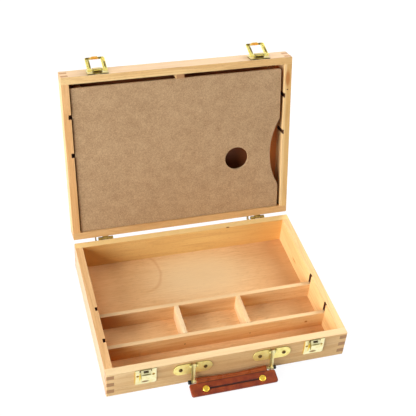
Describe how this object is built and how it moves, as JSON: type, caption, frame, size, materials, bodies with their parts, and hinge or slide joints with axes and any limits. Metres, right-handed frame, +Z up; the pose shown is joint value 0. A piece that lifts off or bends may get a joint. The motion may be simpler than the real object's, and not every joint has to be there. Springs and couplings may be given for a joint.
{
  "type": "pochade box",
  "caption": "Wooden artist's sketch box with a tilting lid that holds a palette, divided tray, brass stop hinges and snap latches, and a leather carrying handle.",
  "frame": {"origin": "Centre of the base's underside, on the surface that the box stands on", "axes": "+X to the right seen from the front, +Y from the handle at the front to the hinges at the back, +Z up"},
  "size_m": [0.38, 0.4308, 0.3389],
  "materials": {
    "beech": "sanded, clear matt",
    "plywood": "sanded, clear matt",
    "hardboard": "bare, matt",
    "brass": "polished pressed sheet",
    "brass_screws": "satin",
    "bronzed_screws": "bronzed, dark",
    "leather": "red-brown, semi-gloss",
    "black_plastic": "satin"
  },
  "bodies": {
    "base": {"base_front_wall": "beech", "base_back_wall": "beech", "base_left_wall": "beech", "base_right_wall": "beech", "base_floor": "plywood", "rear_divider": "beech", "front_divider": "beech", "short_divider_left": "beech", "short_divider_right": "beech", "hinge_base_leaf_left": "brass", "hinge_base_leaf_right": "brass", "hinge_pin_left": "brass", "hinge_pin_right": "brass", "hinge_base_screws": "brass_screws", "catch_left": "brass", "catch_right": "brass", "catch_screws": "brass_screws", "handle_bracket_left": "brass", "handle_bracket_right": "brass", "handle_bracket_screws": "bronzed_screws", "handle_pivot_pin_left": "brass", "handle_pivot_pin_right": "brass"},
    "lid": {"lid_front_wall": "beech", "lid_back_wall": "beech", "lid_left_wall": "beech", "lid_right_wall": "beech", "lid_panel": "plywood", "lid_spacer_block": "beech", "palette_rest_front_left": "beech", "palette_rest_front_right": "beech", "palette_rest_back_left": "beech", "palette_rest_back_right": "beech", "hinge_lid_leaf_left": "brass", "hinge_lid_leaf_right": "brass", "hinge_lid_screws": "brass_screws", "latch_plate_left": "brass", "latch_plate_right": "brass", "latch_plate_screws": "brass_screws"},
    "palette_board": {"palette": "hardboard"},
    "bail_left": {"latch_bail_left": "brass", "latch_pin_left": "brass"},
    "bail_right": {"latch_bail_right": "brass", "latch_pin_right": "brass"},
    "handle_links": {"handle_strap_left": "brass", "handle_strap_right": "brass", "handle_rod": "brass", "handle_rod_cap_left": "black_plastic", "handle_rod_cap_right": "black_plastic"},
    "grip": {"handle_grip": "leather", "grip_rivets": "brass"}
  },
  "joints": [
    {"name": "lid_hinge", "type": "hinge", "parent": "base", "child": "lid", "pos_m": [0, 0.1461, 0.0502], "axis": [1, 0, 0], "range_deg": [0, 104.3]},
    {"name": "palette_lift", "type": "slide", "parent": "lid", "child": "palette_board", "axis": [0, -0.969, 0.247], "range_m": [0, 0.015]},
    {"name": "latch_left", "type": "hinge", "parent": "lid", "child": "bail_left", "pos_m": [-0.131, 0.22654, 0.33258], "axis": [1, 0, 0], "range_deg": [0, 156]},
    {"name": "latch_right", "type": "hinge", "parent": "lid", "child": "bail_right", "pos_m": [0.1354, 0.22654, 0.33258], "axis": [1, 0, 0], "range_deg": [0, 156]},
    {"name": "handle_swing", "type": "hinge", "parent": "base", "child": "handle_links", "pos_m": [0.0041, -0.1459, 0.042], "axis": [-1, 0, 0], "range_deg": [0, 100]},
    {"name": "grip_swing", "type": "hinge", "parent": "handle_links", "child": "grip", "pos_m": [0.0041, -0.1487, 0.0068], "axis": [-1, 0, 0], "range_deg": [-75, 60]}
  ]
}
